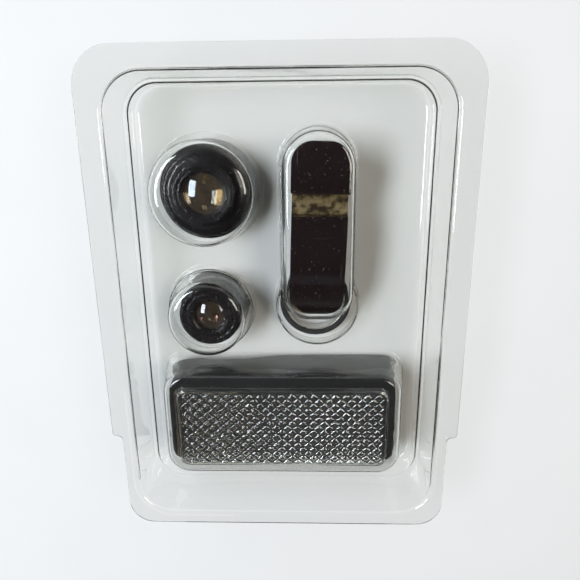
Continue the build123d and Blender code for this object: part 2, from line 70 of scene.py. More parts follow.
def arc(centre, radius, start, end, count=CORNER_POINTS):
    """Points along an arc, both ends included; angles in degrees."""
    angles = np.radians(np.linspace(start, end, count))
    return np.column_stack([centre[0] + radius * np.cos(angles), centre[1] + radius * np.sin(angles)])


def joined(arcs, between=SIDE_POINTS):
    """One closed outline from arcs, with extra points along any straight run between them."""
    rows = []
    for points, following in zip(arcs, arcs[1:] + arcs[:1]):
        run = following[0] - points[-1]
        if np.hypot(*run) < 1e-6:
            rows.append(points[:-1])
            continue
        rows.append(points)
        rows.append(points[-1] + run * np.linspace(0, 1, between + 2)[1:-1, None])
    return np.vstack(rows)


def rounded_rectangle(centre, size, corner, grow=0.0):
    """A rounded rectangle, counter-clockwise, made larger by grow on every side."""
    radius = corner + grow
    half = np.array(size) / 2 + grow - radius
    signs = [(1, 1), (-1, 1), (-1, -1), (1, -1)]
    arcs = []
    for quarter, sign in enumerate(signs):
        middle = np.array(centre) + half * sign
        arcs.append(arc(middle, radius, 90 * quarter, 90 * quarter + 90))
    return joined(arcs)


def circle(centre, radius, count=192):
    return arc(centre, radius, 0, 360, count + 1)[:-1]


def at_height(outline, z):
    """The outline as a ring of (x, y, z) points."""
    return np.column_stack([outline, np.full(len(outline), z)])


def rounded(path, reaches, steps=5, closed=False):
    """The path with each bend replaced by a smooth curve that starts and ends within reach of it.

    A path's stations may be single points or whole rings, so this rounds turned profiles and lofts alike.
    """
    path = [np.asarray(station, float) for station in path]
    count = len(path)
    bends = range(count) if closed else range(1, count - 1)
    out = [] if closed else [path[0]]
    for index in bends:
        here = path[index]
        if reaches[index] <= 0:
            out.append(here)
            continue
        ends = []
        for neighbour in (index - 1, (index + 1) % count):
            away = path[neighbour] - here
            length = np.maximum(np.linalg.norm(away, axis=-1, keepdims=True), 1e-9)
            most = SHARED_REACH if closed or 0 < neighbour < count - 1 else WHOLE_REACH
            ends.append(here + away / length * np.minimum(reaches[index], most * length))
        for t in np.linspace(0, 1, steps):
            out.append((1 - t)**2 * ends[0] + 2 * t * (1 - t) * here + t**2 * ends[1])
    return out if closed else out + [path[-1]]


# ---------------------------------------------------------------- mesh making
def new_piece(name, points, faces, body, finish, stands_for=()):
    """A smooth-shaded mesh object from points in millimetres, riding on a CAD body."""
    mesh = bpy.data.meshes.new(name)
    mesh.from_pydata((np.asarray(points, float) * MM).tolist(), [], faces)
    tidy = bmesh.new()
    tidy.from_mesh(mesh)
    bmesh.ops.remove_doubles(tidy, verts=tidy.verts, dist=1e-6)
    bmesh.ops.recalc_face_normals(tidy, faces=tidy.faces)
    tidy.to_mesh(mesh)
    tidy.free()
    mesh.shade_smooth()
    mesh.materials.append(finish)
    piece = bpy.data.objects.new(name, mesh)
    bpy.context.scene.collection.objects.link(piece)
    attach(piece, body)
    if stands_for:
        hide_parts(*stands_for)
    return piece


def grid_faces(rows, columns, wrap_rows=False, wrap_columns=True, start=0):
    """Quads over a grid of points numbered row by row."""
    faces = []
    for row in range(rows if wrap_rows else rows - 1):
        for column in range(columns if wrap_columns else columns - 1):
            next_row = (row + 1) % rows
            next_column = (column + 1) % columns
            faces.append([start + row * columns + column, start + row * columns + next_column,
                          start + next_row * columns + next_column, start + next_row * columns + column])
    return faces


def add_bevel(piece, width, angle=35, segments=2):
    bevel = piece.modifiers.new("edges", "BEVEL")
    bevel.width = width * MM
    bevel.segments = segments
    bevel.limit_method = "ANGLE"
    bevel.angle_limit = math.radians(angle)


def add_weighted_normals(piece):
    piece.modifiers.new("normals", "WEIGHTED_NORMAL").weight = 80


# ---------------------------------------------------------------- material nodes
class Nodes:
    """A node tree, with one short call per node. A value may be a plain one or another node's output."""

    def __init__(self, tree):
        self.tree = tree

    def put(self, socket, value):
        if isinstance(value, bpy.types.NodeSocket):
            self.tree.links.new(value, socket)
        else:
            socket.default_value = value

    def add(self, kind, inputs=None, **settings):
        node = self.tree.nodes.new("ShaderNode" + kind)
        for key, value in settings.items():
            setattr(node, key, value)
        for key, value in (inputs or {}).items():
            self.put(node.inputs[key], value)
        return node

    def remap(self, value, old, new):
        """value carried from the range old to the range new, held at both ends."""
        ends = {"From Min": old[0], "From Max": old[1], "To Min": new[0], "To Max": new[1]}
        return self.add("MapRange", {"Value": value, **ends}).outputs[0]

    def math(self, operation, first, second=0.0):
        return self.add("Math", {0: first, 1: second}, operation=operation).outputs[0]

    def mix_colours(self, share, first, second):
        return self.add("Mix", {0: share, 6: first, 7: second}, data_type="RGBA").outputs[2]

    def mix_surfaces(self, share, first, second):
        return self.add("MixShader", {0: share, 1: first, 2: second}).outputs[0]


class Shader(Nodes):
    """A material's node tree. Patterns are laid out in metres, in the piece's own frame."""

    def __init__(self, name):
        self.material = bpy.data.materials.new(name)
        self.material.use_nodes = True
        super().__init__(self.material.node_tree)
        self.tree.nodes.clear()
        self.output = self.add("OutputMaterial")
        self.place = self.add("TexCoord").outputs["Object"]

    def noise(self, scale, detail=3.0, stretch=(1, 1, 1), roughness=0.5):
        """Noise with features about 1/scale metres wide, drawn out along axes whose stretch is below 1."""
        mapped = self.add("Mapping", {"Vector": self.place, "Scale": stretch}).outputs[0]
        inputs = {"Vector": mapped, "Scale": scale, "Detail": detail, "Roughness": roughness}
        return self.add("TexNoise", inputs).outputs[0]

    def bump(self, height, depth, strength=1.0, base=None):
        """A surface normal from a height pattern; depth in metres."""
        inputs = {"Height": height, "Distance": depth, "Strength": strength}
        if base is not None:
            inputs["Normal"] = base
        return self.add("Bump", inputs).outputs[0]

    def surface(self, kind, **inputs):
        """A surface node's output; an input's spaces are written as underscores."""
        return self.add(kind, {key.replace("_", " "): value for key, value in inputs.items()}).outputs[0]

    def finish(self, surface):
        self.put(self.output.inputs["Surface"], surface)
        return self.material


def rgb(red, green, blue):
    return (red, green, blue, 1.0)


def brighter(colour, times):
    return rgb(*(times * channel for channel in colour[:3]))


# Bounces after which a ray is taken to be trapped inside the clear sheet
TRAPPED_DEPTH = 6.5


def lets_lamps_through(shader, surface, tint):
    """The surface for sight and reflections, but a plain tinted pane for shadow and diffuse rays.

    Rays that have bounced many times inside the sheet pass out too, or its bends would look black.
    """
    ray = shader.add("LightPath").outputs
    passing = shader.math("MAXIMUM", ray["Is Shadow Ray"], ray["Is Diffuse Ray"])
    trapped = shader.math("GREATER_THAN", ray["Ray Depth"], TRAPPED_DEPTH)
    passing = shader.math("MAXIMUM", passing, trapped)
    return shader.mix_surfaces(passing, surface, shader.surface("BsdfTransparent", Color=tint))


def clear_plastic():
    """Thin thermoformed sheet: clear, with a faint ripple from forming and fine scuffs."""
    s = Shader("clear_plastic")
    ripple = s.bump(s.noise(55, 1.0), 0.0006, 0.3)
    scuffs = s.noise(260, 6.0, (1, 0.15, 1), 0.7)
    normal = s.bump(scuffs, 0.00002, 0.12, ripple)
    roughness = s.remap(scuffs, (0.6, 0.85), (0.0, 0.08))
    tint = rgb(0.965, 0.968, 0.962)
    glass = s.surface("BsdfGlass", Color=tint, Roughness=roughness, IOR=1.47, Normal=normal)
    return s.finish(lets_lamps_through(s, glass, rgb(0.935, 0.938, 0.93)))


def coated_glass(name, tint, sheen):
    """Tinted lens glass, with a coloured coating that shows towards its edge and a thin dusty film."""
    s = Shader(name)
    dust = s.remap(s.noise(2600, 2.0), (0.68, 0.78), (0.0, 0.25))
    glass = s.surface("BsdfGlass", Color=tint, Roughness=dust, IOR=1.52)
    coating = s.surface("BsdfGlossy", Color=sheen, Roughness=0.03)
    facing = s.add("LayerWeight", {"Blend": 0.35}).outputs["Facing"]
    coated = s.mix_surfaces(s.remap(facing, (0.0, 1.0), (0.06, 0.55)), glass, coating)
    film = s.surface("BsdfDiffuse", Color=rgb(0.55, 0.47, 0.38))
    hazy = s.mix_surfaces(s.remap(s.noise(420, 4.0), (0.3, 0.7), (0.02, 0.07)), coated, film)
    return s.finish(lets_lamps_through(s, hazy, rgb(0.75, 0.7, 0.62)))


def painted_black(name, colour, rough, grain_depth, dust=0.0, coat=0.0):
    """Black moulded or anodised surface: fine grain, patchy gloss, and pale dust specks if asked for."""
    s = Shader(name)
    patches = s.noise(140, 4.0)
    specks = s.remap(s.noise(1500, 1.0), (0.70, 0.76), (0.0, dust))
    mottled = s.mix_colours(patches, colour, brighter(colour, 1.7))
    base = s.mix_colours(specks, mottled, rgb(0.5, 0.47, 0.42))
    roughness = s.remap(patches, (0.3, 0.7), rough)
    normal = s.bump(s.noise(3200, 4.0), grain_depth)
    return s.finish(s.surface("BsdfPrincipled", Base_Color=base, Roughness=roughness, Normal=normal,
                              Coat_Weight=coat, Coat_Roughness=0.06, Specular_IOR_Level=0.3))


def scratched_gloss(name, colour, reflection_y):
    """Glossy black plastic with hairline scratches, a little dust, and a painted warm reflection in a
    rougher band at y = reflection_y.
    """
    s = Shader(name)
    hairs = s.remap(s.noise(900, 3.0, (1, 0.035, 1)), (0.62, 0.72), (0, 1))
    cross_hairs = s.remap(s.noise(700, 2.0, (0.05, 1, 1)), (0.68, 0.76), (0, 0.6))
    marks = s.math("MAXIMUM", hairs, cross_hairs)
    dust = s.remap(s.noise(1700, 2.0), (0.69, 0.76), (0.0, 0.35))
    mottled = s.mix_colours(s.noise(90, 3.0), colour, rgb(0.02, 0.012, 0.014))
    dusty = s.mix_colours(dust, mottled, rgb(0.45, 0.4, 0.34))

    y = s.add("SeparateXYZ", {0: s.place}).outputs["Y"]
    away = s.math("ABSOLUTE", s.math("SUBTRACT", y, reflection_y))
    band = s.remap(away, (0.0019, 0.0028), (1, 0))
    # Painted reflection: a mottled warm gold band across the valley, mixed into the base colour; the band
    # is also made rougher
    valley_reflection = s.math("MULTIPLY", band, s.remap(s.noise(520, 4.0), (0.38, 0.62), (0.1, 1)))
    base = s.mix_colours(valley_reflection, dusty, rgb(0.17, 0.125, 0.055))

    roughness = s.math("MAXIMUM", s.remap(marks, (0, 1), (0.12, 0.4)), s.math("MULTIPLY", valley_reflection, 0.5))
    swell = s.bump(s.noise(45, 2.0), 0.0008, 0.3)
    normal = s.bump(marks, 0.00001, 0.6, swell)
    return s.finish(s.surface("BsdfPrincipled", Base_Color=base, Roughness=roughness, Normal=normal,
                              Coat_Weight=0.3, Coat_Roughness=0.05))


def bare_metal(name, colour, rough):
    """Turned or drawn metal: fine brushed grain with duller patches."""
    s = Shader(name)
    patches = s.noise(220, 4.0)
    base = s.mix_colours(patches, colour, brighter(colour, 0.6))
    roughness = s.remap(patches, (0.3, 0.7), rough)
    normal = s.bump(s.noise(1800, 3.0, (1, 1, 6)), 0.00002, 0.6)
    return s.finish(s.surface("BsdfPrincipled", Base_Color=base, Metallic=1.0, Roughness=roughness,
                              Normal=normal))


# A wave texture repeats every pi / 10 metres at a scale of 1.
WAVE_REPEAT = math.pi / 10


def woven(name, colour, pitch, depth):
    """Cloth: two crossed sets of threads, pitch metres apart, with a soft nap."""
    s = Shader(name)
    wave = {"Vector": s.place, "Scale": WAVE_REPEAT / pitch, "Distortion": 0.6, "Detail": 1.0}
    threads = [s.add("TexWave", wave, bands_direction=axis).outputs[1] for axis in ("X", "Y")]
    weave = s.math("MULTIPLY", *threads)
    height = s.math("ADD", weave, s.math("MULTIPLY", s.noise(2400, 4.0), 0.5))
    shade = s.mix_colours(s.noise(120, 4.0), colour, brighter(colour, 1.9))
    base = s.mix_colours(weave, shade, brighter(colour, 2.4))
    normal = s.bump(height, depth, 0.8)
    return s.finish(s.surface("BsdfPrincipled", Base_Color=base, Roughness=0.9, Normal=normal,
                              Sheen_Weight=0.08, Sheen_Roughness=0.5, Specular_IOR_Level=0.25))


# The clip's painted warm reflection lies in a band across the valley over its pivot pin
VALLEY_Y = float(sum(corner[1] for corner in extent("clip_pivot_pin"))) / 2

CLEAR = clear_plastic()
LENS_BLACK = painted_black("lens_black", rgb(0.007, 0.006, 0.007), (0.2, 0.32), 0.000006, 0.2, 0.12)
BAFFLE = painted_black("baffle_black", rgb(0.008, 0.008, 0.009), (0.8, 0.95), 0.00004)
REAR_GLASS = coated_glass("rear_glass", rgb(0.90, 0.86, 0.78), rgb(0.70, 0.82, 1.0))
MIDDLE_GLASS = coated_glass("middle_glass", rgb(0.80, 0.64, 0.42), rgb(0.85, 0.66, 0.40))
MACRO_GLASS = coated_glass("macro_glass", rgb(0.74, 0.56, 0.48), rgb(0.78, 0.80, 0.95))
FRONT_GLASS = coated_glass("front_glass", rgb(0.90, 0.92, 0.95), rgb(0.45, 0.5, 0.75))
CLIP_PLASTIC = scratched_gloss("clip_plastic", rgb(0.011, 0.007, 0.007), VALLEY_Y * MM)
RUBBER = painted_black("pad_rubber", rgb(0.018, 0.018, 0.018), (0.7, 0.9), 0.00006, dust=0.15)
RING_METAL = bare_metal("ring_metal", rgb(0.62, 0.60, 0.57), (0.22, 0.4))
STEEL = bare_metal("steel", rgb(0.55, 0.55, 0.56), (0.18, 0.35))
POUCH_CLOTH = woven("pouch_fabric", rgb(0.006, 0.006, 0.0065), 0.00032, 0.00006)
CORD_CLOTH = woven("cord", rgb(0.014, 0.014, 0.015), 0.00022, 0.00005)

# ---------------------------------------------------------------- tray
# The CAD tray's own dimensions, in millimetres; heights are of the sheet's upper face
SHEET = 0.5
POCKET_MARGIN = 0.4
WALL_DRAFT = math.tan(math.radians(6.0))
FISHEYE_DRAFT = math.tan(math.radians(10.0))
SMALL_DRAFT = math.tan(math.radians(8.0))
CLIP_DRAFT = math.tan(math.radians(7.0))
TRAY_HIGH = extent("blister_tray")[1]
FLANGE_Z = TRAY_HIGH[2]
FLANGE_FOOT_WIDTH = 83.5
FLANGE_STEP_Y = -33.6
FLANGE_CORNER = 9.0
FLANGE_FOOT_CORNER = 6.5
FLANGE_STEP_CORNER = 1.2
FLOOR_CENTRE = (0.0, -0.9)
FLOOR_SIZE = (73.2, 107.2)
FLOOR_CORNER = 7.0
LENS_TOP_Z = 13.5
FISHEYE_POCKET = (-19.6, 27.3)
FISHEYE_POCKET_R = 14.8
SMALL_POCKET = (-19.8, -4.6)
SMALL_POCKET_R = 12.1
SMALL_LEDGE_Z = 4.6
SMALL_LEDGE_WIDTH = 0.5
CLIP_POCKET = (8.9, -2.9)
CLIP_POCKET_R = 11.6
CLIP_HALF_WIDTH = 10.2
CLIP_END_Y = 43.8
CLIP_NECK_R = 14.0
CLIP_SHELF_Z = 7.0
CLIP_TOP_Z = 17.2
# The high slot's (half width, end y, foot y)
SLOT_AT_FLOOR = (9.7, 43.4, -8.5)
SLOT_AT_TOP = (8.4, 42.0, -2.6)
SLOT_CORNER = 6.5
SHELF_SHARE = (CLIP_SHELF_Z - SHEET) / (CLIP_TOP_Z - SHEET)
SLOT_FOOT_AT_SHELF = SLOT_AT_FLOOR[2] + (SLOT_AT_TOP[2] - SLOT_AT_FLOOR[2]) * SHELF_SHARE
POUCH_X = -0.5
# The pouch pocket's (width, end y, foot y)
POUCH_BASE = (68.0, -18.2, -50.4)
POUCH_SHOULDER = (62.6, -18.9, -48.2)
POUCH_FACE = (55.6, -22.3, -44.7)
POUCH_CORNER = 6.0
FACE_CORNER = 3.0
POUCH_SHOULDER_Z = 15.4
POUCH_FACE_Z = 16.8

# Rolled bends of the sheet, and the small step part way down its walls
FLANGE_BEND = 1.5
FLOOR_BEND = 1.4
STEP_TOP_Z = 7.4
STEP_FOOT_Z = 6.7
STEP_BEND = 0.5
STEP_HALF_WIDTH = 0.3
POCKET_FOOT_BEND = 0.35
KEYHOLE_BEND = 0.9
SLOT_BEND = 1.9
FISHEYE_TOP_BEND = 2.9
SMALL_TOP_BEND = 2.3
POUCH_SHOULDER_BEND = 2.6
FACE_BEND = 0.4

# Diamonds on the pouch pocket's face, (width, height) each: slightly crowned pads parted by V grooves.
# GROOVE_SHARE is a groove's half-width as a share of the distance between grooves.
DIAMOND = (2.8, 2.575)
DIAMOND_COUNT = (19, 8)
DIAMOND_STEPS = 14
GROOVE_SHARE = 3 / DIAMOND_STEPS
GROOVE_DEPTH = 0.28
PAD_CROWN = 0.03


def flange_outline():
    """The sheet's cut edge: wide along the top, stepping in near the foot."""
    wide, end = TRAY_HIGH[:2]
    foot = FLANGE_FOOT_WIDTH / 2
    r, step_r, foot_r = FLANGE_CORNER, FLANGE_STEP_CORNER, FLANGE_FOOT_CORNER
    step = FLANGE_STEP_Y
    right = [arc((foot - foot_r, foot_r - end), foot_r, 270, 360),
             arc((foot + step_r, step - step_r), step_r, 180, 90),
             arc((wide - step_r, step + step_r), step_r, 270, 360),
             arc((wide - r, end - r), r, 0, 90)]
    left = [points[::-1] * (-1, 1) for points in reversed(right)]
    return joined(right + left, 12)


def keyhole_outline(grow):
    """A long slot with a round end and a wider bulge around the lens ring, made larger by grow."""
    x, y = CLIP_POCKET
    half, neck = CLIP_HALF_WIDTH, CLIP_NECK_R
    neck_x = half + neck
    neck_y = math.sqrt((CLIP_POCKET_R + neck)**2 - neck_x**2)
    lean = math.degrees(math.atan2(neck_y, neck_x))
    arcs = [arc((x, y), CLIP_POCKET_R + grow, 180 - lean, 360 + lean, 64),
            arc((x + neck_x, y + neck_y), neck - grow, 180 + lean, 180, 16),
            arc((x, CLIP_END_Y - half), half + grow, 0, 180, 48),
            arc((x - neck_x, y + neck_y), neck - grow, 0, -lean, 16)]
    return joined(arcs, 12)


def pouch_ring(size, corner, z, grow=0.0):
    width, end, foot = size
    return at_height(rounded_rectangle((POUCH_X, (end + foot) / 2), (width, end - foot), corner, grow), z)


def dish_rings():
    """From the flange down the walls to the floor, with the small moulded step part way down."""
    def ring(z, extra=0.0):
        grow = (z - SHEET) * WALL_DRAFT + extra
        return at_height(rounded_rectangle(FLOOR_CENTRE, FLOOR_SIZE, FLOOR_CORNER, grow), z)

    path = [ring(FLANGE_Z, 2.6), ring(FLANGE_Z), ring(STEP_TOP_Z, STEP_HALF_WIDTH + 0.05),
            ring(STEP_FOOT_Z, -STEP_HALF_WIDTH), ring(SHEET), ring(SHEET, -1.5)]
    return rounded(path, [0, FLANGE_BEND, STEP_BEND, STEP_BEND, FLOOR_BEND, 0], steps=7)


def lens_pocket_rings(centre, radius, draft, top_bend, ledge_width=0.0):
    """A round turret, with a narrow ledge near its foot if asked for."""
    stations = [(radius + POCKET_MARGIN, SHEET, 0), (radius, SHEET, POCKET_FOOT_BEND)]
    if ledge_width:
        ledge_r = radius - (SMALL_LEDGE_Z - SHEET) * draft
        stations += [(ledge_r, SMALL_LEDGE_Z, 0.3), (ledge_r - ledge_width, SMALL_LEDGE_Z, 0.2)]
    top_r = radius - (LENS_TOP_Z - SHEET) * draft - ledge_width
    stations += [(top_r, LENS_TOP_Z, top_bend), (top_r - top_bend - 0.8, LENS_TOP_Z, 0)]
    path = [at_height(circle(centre, r), z) for r, z, _ in stations]
    return rounded(path, [reach for _, _, reach in stations], steps=11)


def slot_outline(size, grow=0.0):
    """The high slot over the jaws: round at its end, with two smaller corners at its foot."""
    half, end, foot = size
    x = CLIP_POCKET[0]
    centre_y = end - half
    half += grow
    foot -= grow
    corner = SLOT_CORNER + grow
    arcs = [arc((x + half - corner, foot + corner), corner, 270, 360, 32),
            arc((x, centre_y), half, 0, 180, 64),
            arc((x - half + corner, foot + corner), corner, 180, 270, 32)]
    return joined(arcs, 16)


def keyhole_rings():
    """The low keyhole over the lens ring, up to its shelf.

    The shelf has room only below the slot's foot, so beside the slot it shrinks almost to nothing.
    """
    lean = (CLIP_SHELF_Z - SHEET) * CLIP_DRAFT
    path = [at_height(keyhole_outline(POCKET_MARGIN), SHEET), at_height(keyhole_outline(0), SHEET),
            at_height(keyhole_outline(-lean), CLIP_SHELF_Z)]
    narrow, wide = (at_height(keyhole_outline(-lean - inset), CLIP_SHELF_Z) for inset in (0.04, 1.0))
    below_slot = np.clip((SLOT_FOOT_AT_SHELF + 1.7 - narrow[:, 1:2]) / 3, 0, 1)
    path.append(narrow + (wide - narrow) * below_slot)
    return rounded(path, [0, POCKET_FOOT_BEND, KEYHOLE_BEND, 0], steps=7)


def slot_rings():
    """The high slot, from the keyhole's shelf to its flat top; its foot slopes with the jaw's tip."""
    at_shelf = [low + (high - low) * SHELF_SHARE for low, high in zip(SLOT_AT_FLOOR, SLOT_AT_TOP)]
    path = [at_height(slot_outline(at_shelf, 0.06), CLIP_SHELF_Z),
            at_height(slot_outline(at_shelf), CLIP_SHELF_Z),
            at_height(slot_outline(SLOT_AT_TOP), CLIP_TOP_Z),
            at_height(slot_outline(SLOT_AT_TOP, -SLOT_BEND - 0.9), CLIP_TOP_Z)]
    return rounded(path, [0, 0.1, SLOT_BEND, 0], steps=7)


def pouch_pocket_rings():
    """A large block with soft shoulders, and a raised rectangle on top that carries the diamonds."""
    path = [pouch_ring(POUCH_BASE, POUCH_CORNER, SHEET, POCKET_MARGIN),
            pouch_ring(POUCH_BASE, POUCH_CORNER, SHEET),
            pouch_ring(POUCH_SHOULDER, POUCH_CORNER, POUCH_SHOULDER_Z),
            pouch_ring(POUCH_FACE, FACE_CORNER, POUCH_SHOULDER_Z, 0.1),
            pouch_ring(POUCH_FACE, FACE_CORNER, POUCH_FACE_Z, -0.1),
            pouch_ring(POUCH_FACE, 1.2, POUCH_FACE_Z, -0.8)]
    bends = [0, POCKET_FOOT_BEND, POUCH_SHOULDER_BEND, POCKET_FOOT_BEND, FACE_BEND, 0]
    return rounded(path, bends, steps=7)


def flat_border(grid):
    """The grid of values with zeros along its border, where the diamonds meet the plain sheet."""
    grid[[0, -1], :] = 0
    grid[:, [0, -1]] = 0
    return grid


def diamond_grid():
    """Points of the pouch pocket's face, row by row."""
    columns, rows = (count * DIAMOND_STEPS + 1 for count in DIAMOND_COUNT)
    across = np.arange(columns) / DIAMOND_STEPS - DIAMOND_COUNT[0] / 2
    along = np.arange(rows) / DIAMOND_STEPS - DIAMOND_COUNT[1] / 2
    u, v = np.meshgrid(across, along)
    first = np.abs((u + v) - np.round(u + v))
    second = np.abs((u - v) - np.round(u - v))
    to_groove = np.minimum(first, second)
    groove = flat_border(np.clip(1 - to_groove / GROOVE_SHARE, 0, 1))
    crown = flat_border(np.clip(2 * to_groove, 0, 1))
    end, foot = POUCH_FACE[1:]
    x = POUCH_X + u * DIAMOND[0]
    y = (end + foot) / 2 + v * DIAMOND[1]
    z = POUCH_FACE_Z - GROOVE_DEPTH * groove + PAD_CROWN * crown
    return np.stack([x, y, z], axis=-1)


def within(points, outline):
    """Whether each point lies inside a closed outline."""
    x, y = points[:, :1], points[:, 1:]
    (ax, ay), (bx, by) = outline.T, np.roll(outline, -1, axis=0).T
    crosses = (ay > y) != (by > y)
    rise = np.where(by == ay, 1.0, by - ay)
    return (crosses & (x < ax + (bx - ax) * (y - ay) / rise)).sum(axis=1) % 2 == 1


# The kind of triangulation that fills the outermost outline
FILL_INSIDE = 1


def fill_flat(mesh, loops):
    """Fills the flat region inside the first loop of vertices and outside the others."""
    corners = [vertex for loop in loops for vertex in loop]
    edges = []
    for loop in loops:
        start = len(edges)
        edges += [(start + index, start + (index + 1) % len(loop)) for index in range(len(loop))]
    flat = [vertex.co.xy / MM for vertex in corners]
    _, _, triangles, sources, _, _ = delaunay_2d_cdt(flat, edges, [], FILL_INSIDE, 1e-6)
    triangles = [[sources[index][0] for index in triangle] for triangle in triangles]
    middles = np.array([[flat[index] for index in triangle] for triangle in triangles]).mean(axis=1)
    in_hole = np.zeros(len(triangles), bool)
    for loop in loops[1:]:
        in_hole |= within(middles, np.array([vertex.co.xy / MM for vertex in loop]))
    for triangle, hidden in zip(triangles, in_hole):
        if not hidden:
            mesh.faces.new([corners[index] for index in triangle])


def add_rings(mesh, rings):
    """Walls between rings of points that follow one another; returns the rings' vertices."""
    loops = [[mesh.verts.new(point * MM) for point in ring] for ring in rings]
    for outer, inner in zip(loops, loops[1:]):
        for index in range(len(outer)):
            following = (index + 1) % len(outer)
            mesh.faces.new((outer[index], outer[following], inner[following], inner[index]))
    return loops


def add_diamonds(mesh):
    """The face's diamonds; returns the vertices along their border."""
    grid = [[mesh.verts.new(point * MM) for point in row] for row in diamond_grid()]
    for low, high in zip(grid, grid[1:]):
        for column in range(len(low) - 1):
            mesh.faces.new((low[column], low[column + 1], high[column + 1], high[column]))
    right = [row[-1] for row in grid[1:]]
    left = [row[0] for row in grid[-2:0:-1]]
    return grid[0] + right + grid[-1][-2::-1] + left


def sheet_surface():
    """The whole sheet's upper face as one surface, open only along its cut edge."""
    mesh = bmesh.new()
    cut_edge = add_rings(mesh, [at_height(flange_outline(), FLANGE_Z)])[0]
    dish = add_rings(mesh, dish_rings())
    fill_flat(mesh, [cut_edge, dish[0]])
    fisheye = add_rings(mesh, lens_pocket_rings(FISHEYE_POCKET, FISHEYE_POCKET_R, FISHEYE_DRAFT,
                                                FISHEYE_TOP_BEND))
    small = add_rings(mesh, lens_pocket_rings(SMALL_POCKET, SMALL_POCKET_R, SMALL_DRAFT, SMALL_TOP_BEND,
                                              SMALL_LEDGE_WIDTH))
    keyhole = add_rings(mesh, keyhole_rings())
    slot = add_rings(mesh, slot_rings())
    fill_flat(mesh, [keyhole[-1], slot[0]])
    for pocket in (fisheye, small, slot):
        fill_flat(mesh, [pocket[-1]])
    pouch = add_rings(mesh, pouch_pocket_rings())
    fill_flat(mesh, [dish[-1]] + [pocket[0] for pocket in (fisheye, small, keyhole, pouch)])
    fill_flat(mesh, [pouch[-1], add_diamonds(mesh)])
    odd_edges = sum(len(edge.link_faces) != 2 for edge in mesh.edges) - len(cut_edge)
    if odd_edges:
        raise RuntimeError(f"the sheet has {odd_edges} open or doubled edges inside its cut edge")
    return mesh


def blister_tray():
    """The sheet, given its thickness by a modifier."""
    mesh = sheet_surface()
    bmesh.ops.recalc_face_normals(mesh, faces=mesh.faces)
    if max(mesh.faces, key=lambda face: face.calc_area()).normal.z < 0:
        bmesh.ops.reverse_faces(mesh, faces=mesh.faces)
    data = bpy.data.meshes.new("tray_sheet")
    mesh.to_mesh(data)
    mesh.free()
    data.shade_smooth()
    data.materials.append(CLEAR)
    tray = bpy.data.objects.new("tray_sheet", data)
    bpy.context.scene.collection.objects.link(tray)
    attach(tray, "tray")
    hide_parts("blister_tray")
    thickness = tray.modifiers.new("thickness", "SOLIDIFY")
    thickness.thickness = SHEET * MM
    thickness.offset = -1
    add_bevel(tray, 0.12, angle=70, segments=1)
    add_weighted_normals(tray)


# ---------------------------------------------------------------- turned parts
def axis_of(node):
    """A turned CAD node's centre, outer radius, lowest and highest height, in millimetres."""
    low, high = extent(node)
    return (low[:2] + high[:2]) / 2, (high[0] - low[0]) / 2, low[2], high[2]


# Height over which a relief fades out at each end
THREAD_FADE = 0.15
KNURL_FADE = 0.12


def thread(outer, low, high, pitch=0.42, depth=0.17):
    """A screw thread cut into a cylinder of radius outer between two heights."""
    def cut(radius, height, angle):
        phase = height / pitch - angle / (2 * math.pi)
        fade = np.clip((height - low) / THREAD_FADE, 0, 1) * np.clip((high - height) / THREAD_FADE, 0, 1)
        return -depth * fade * (radius > outer - 0.05) * (0.5 + 0.5 * np.cos(2 * math.pi * phase))
    return cut


def knurl(outer, low, high, count=72, depth=0.16):
    """Straight grip ribs around a cylinder of radius outer between two heights."""
    def cut(radius, height, angle):
        fade = np.clip((height - low) / KNURL_FADE, 0, 1) * np.clip((high - height) / KNURL_FADE, 0, 1)
        return -depth * fade * (radius > outer - 0.05) * (0.5 + 0.5 * np.cos(count * angle))**2
    return cut


def grooves(radius, heights):
    """Profile points of fine square grooves around a cylinder, one starting at each height."""
    points = []
    for z in heights:
        points += [(radius, z), (radius - 0.12, z + 0.1), (radius - 0.12, z + 0.2), (radius, z + 0.3)]
    return points


def stretch(start, end, count):
    """Points along a straight run of a profile, both ends included."""
    return [tuple(np.array(start) + (np.array(end) - start) * share) for share in np.linspace(0, 1, count)]


def turned_piece(name, node, profile, body, finish, relief=None, steps=144, soft=0.12, closed=True):
    """A solid of revolution about a CAD node's axis, from its (radius, height) profile."""
    centre = axis_of(node)[0]
    path = np.array(rounded(profile, [soft] * len(profile), 3, closed))
    radius = np.repeat(path[:, :1], steps, axis=1)
    height = np.repeat(path[:, 1:], steps, axis=1)
    angle = np.tile(np.arange(steps) * 2 * math.pi / steps, (len(path), 1))
    if relief:
        radius = radius + relief(radius, height, angle)
    x = centre[0] + radius * np.cos(angle)
    y = centre[1] + radius * np.sin(angle)
    points = np.stack([x, y, height], axis=-1)
    faces = grid_faces(len(path), steps, wrap_rows=closed)
    piece = new_piece(name, points.reshape(-1, 3), faces, body, finish, (node,))
    add_weighted_normals(piece)


def dome(radius, rim_z, sag, count=16):
    """Lens surface from its rim to its pole, sag above the rim."""
    sphere_r = (radius**2 + sag**2) / (2 * abs(sag))
    across = radius * np.cos(np.linspace(0, math.pi / 2, count))
    rise = np.sqrt(sphere_r**2 - across**2) - (sphere_r - abs(sag))
    return [(r, rim_z + math.copysign(h, sag)) for r, h in zip(across, rise)]


def lens_glass(name, node, seat, sags, body, finish):
    """A glass element with a flat seat, seat wide, around its lower and upper surface."""
    _, radius, low, high = axis_of(node)
    low_sag, high_sag = sags
    rim_low = low - min(low_sag, 0)
    rim_high = high - max(high_sag, 0)
    lower = dome(radius - seat, rim_low, low_sag)[::-1]
    upper = dome(radius - seat, rim_high, high_sag)
    profile = lower + [(radius, rim_low), (radius, rim_high)] + upper
    turned_piece(name, node, profile, body, finish, steps=96, soft=0.04, closed=False)


